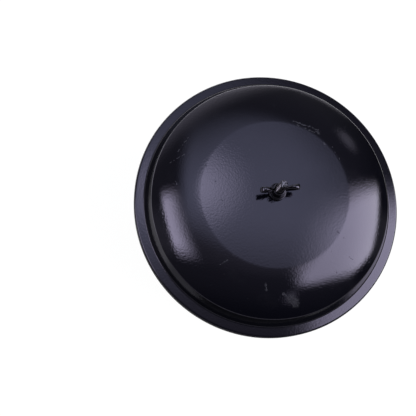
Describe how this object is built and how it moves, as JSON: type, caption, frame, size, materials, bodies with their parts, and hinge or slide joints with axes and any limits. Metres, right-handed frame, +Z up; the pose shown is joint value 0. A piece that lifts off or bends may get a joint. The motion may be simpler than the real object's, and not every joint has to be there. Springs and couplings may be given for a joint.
{
  "type": "air pre-cleaner",
  "caption": "Domed steel air pre-cleaner with a dust bowl, swirl vanes and a clamp-on outlet collar; the cover is held by a wing nut on a centre stud.",
  "frame": {"origin": "centre of the outlet collar's lower end, on the axis", "axes": "+Z up along the axis, from the collar to the cover; the strap inside the tube lies along X"},
  "size_m": [0.28, 0.28, 0.2204],
  "materials": {
    "cover_paint": "gloss black enamel with light orange peel",
    "bowl_paint": "gloss black enamel",
    "base_paint": "black enamel, a little duller inside",
    "nut_finish": "gloss black",
    "stud_steel": "dark rolled thread",
    "plated_steel": "zinc plated",
    "rubber": "matt black"
  },
  "bodies": {
    "base": {"outlet_tube": "base_paint", "base_shroud": "base_paint", "vane_01": "base_paint", "vane_02": "base_paint", "vane_03": "base_paint", "vane_04": "base_paint", "vane_05": "base_paint", "vane_06": "base_paint", "vane_07": "base_paint", "vane_08": "base_paint", "vane_09": "base_paint", "vane_10": "base_paint", "vane_11": "base_paint", "vane_12": "base_paint", "vane_13": "base_paint", "vane_14": "base_paint", "vane_15": "base_paint", "vane_16": "base_paint", "bridge_strap": "base_paint", "stud": "stud_steel", "stud_nut_lower": "plated_steel", "stud_nut_upper": "plated_steel", "lock_washer": "plated_steel", "bowl_gasket": "rubber"},
    "bowl": {"dust_bowl": "bowl_paint"},
    "cover": {"cover": "cover_paint", "cover_gasket": "rubber"},
    "washers": {"flat_washer": "nut_finish", "seal_washer": "rubber"},
    "wing_nut": {"wing_nut": "nut_finish"}
  },
  "joints": [
    {"name": "bowl_lift", "type": "slide", "parent": "base", "child": "bowl", "axis": [0, 0, 1], "range_m": [0, 0.12]},
    {"name": "cover_lift", "type": "slide", "parent": "bowl", "child": "cover", "axis": [0, 0, 1], "range_m": [0, 0.09]},
    {"name": "washer_rise", "type": "slide", "parent": "cover", "child": "washers", "axis": [0, 0, 1], "range_m": [0, 0.02]},
    {"name": "wing_nut_turn", "type": "hinge", "parent": "washers", "child": "wing_nut", "pos_m": [0, 0, 0.1892], "axis": [0, 0, 1], "range_deg": [0, 5760]}
  ],
  "couplings": [
    {"joint": "washer_rise", "follows": "wing_nut_turn", "m_per_rad": 0.00019894}
  ]
}
